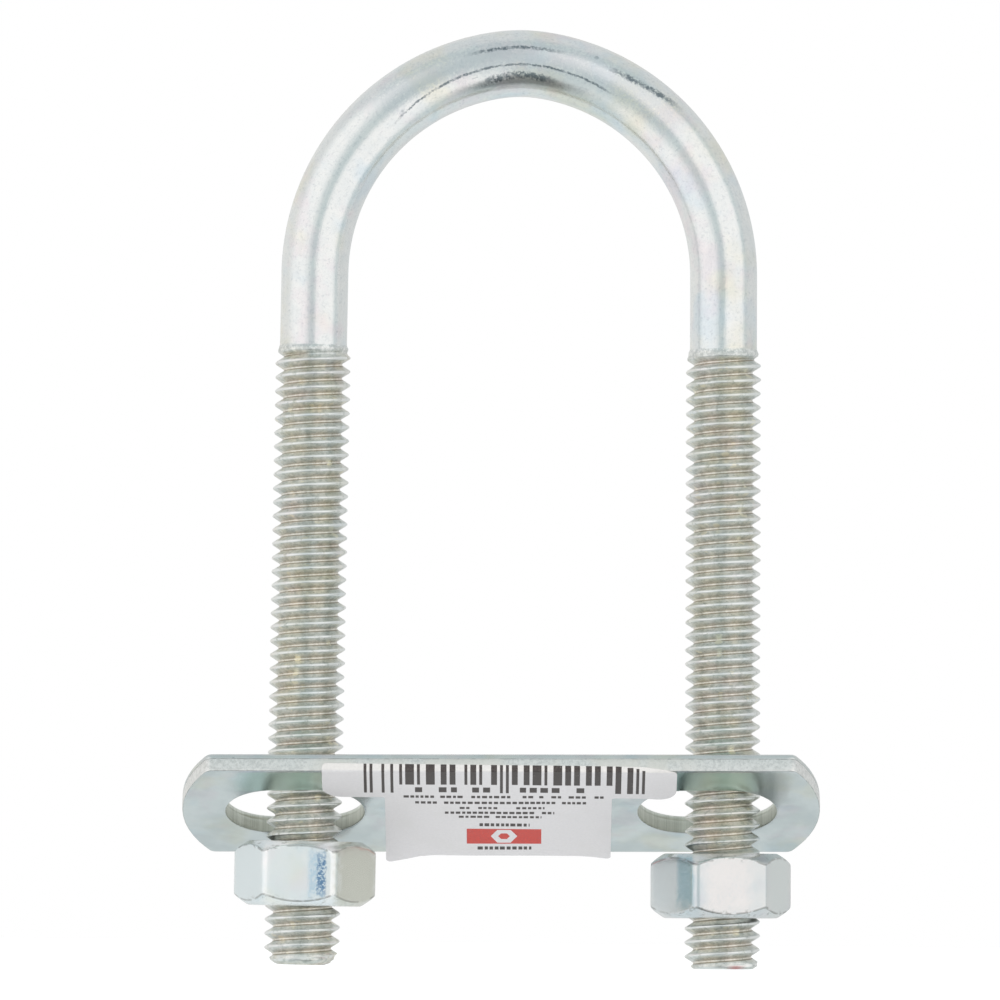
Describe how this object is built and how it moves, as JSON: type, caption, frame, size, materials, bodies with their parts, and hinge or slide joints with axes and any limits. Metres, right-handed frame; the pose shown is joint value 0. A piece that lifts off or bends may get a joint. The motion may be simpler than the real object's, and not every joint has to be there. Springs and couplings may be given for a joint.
{
  "type": "u-bolt",
  "caption": "Zinc-plated steel U-bolt with threaded legs, a slotted clamp plate, hexagon nuts and a paper label.",
  "frame": {"origin": "between the legs at the height where the bend begins, on the axis of a pipe that fills the width between the legs", "axes": "+X across the legs from left to right, +Y along the pipe away from the label's side, +Z from the leg ends to the crown"},
  "size_m": [0.0647, 0.0184, 0.0953],
  "materials": {
    "zinc_rod": "bright clear zinc plate on drawn steel rod, duller and grey-green in the rolled thread",
    "zinc_plate": "satin blue-white zinc plate on punched steel strip",
    "zinc_nut": "bright zinc plate with a faint iridescence",
    "label_paper": "matt coated paper printed in dark brown and red"
  },
  "bodies": {
    "bolt": {"u_bolt": "zinc_rod"},
    "plate": {"clamp_plate": "zinc_plate", "label": "label_paper"},
    "nut_left": {"nut_left": "zinc_nut"},
    "nut_right": {"nut_right": "zinc_nut"}
  },
  "joints": [
    {"name": "plate_travel", "type": "slide", "parent": "bolt", "child": "plate", "axis": [0, 0, 1], "range_m": [-0.0049, 0.047]},
    {"name": "nut_left_turn", "type": "hinge", "parent": "plate", "child": "nut_left", "pos_m": [-0.02112, 0, -0.0642], "axis": [0.0079, 0, 1], "range_deg": [-1260, 12000]},
    {"name": "nut_right_turn", "type": "hinge", "parent": "plate", "child": "nut_right", "pos_m": [0.02113, 0, -0.06501], "axis": [-0.0079, 0, 1], "range_deg": [-1260, 12000]}
  ],
  "couplings": [
    {"joint": "nut_left_turn", "follows": "plate_travel", "rad_per_m": 4452.5},
    {"joint": "nut_right_turn", "follows": "plate_travel", "rad_per_m": 4452.5}
  ]
}
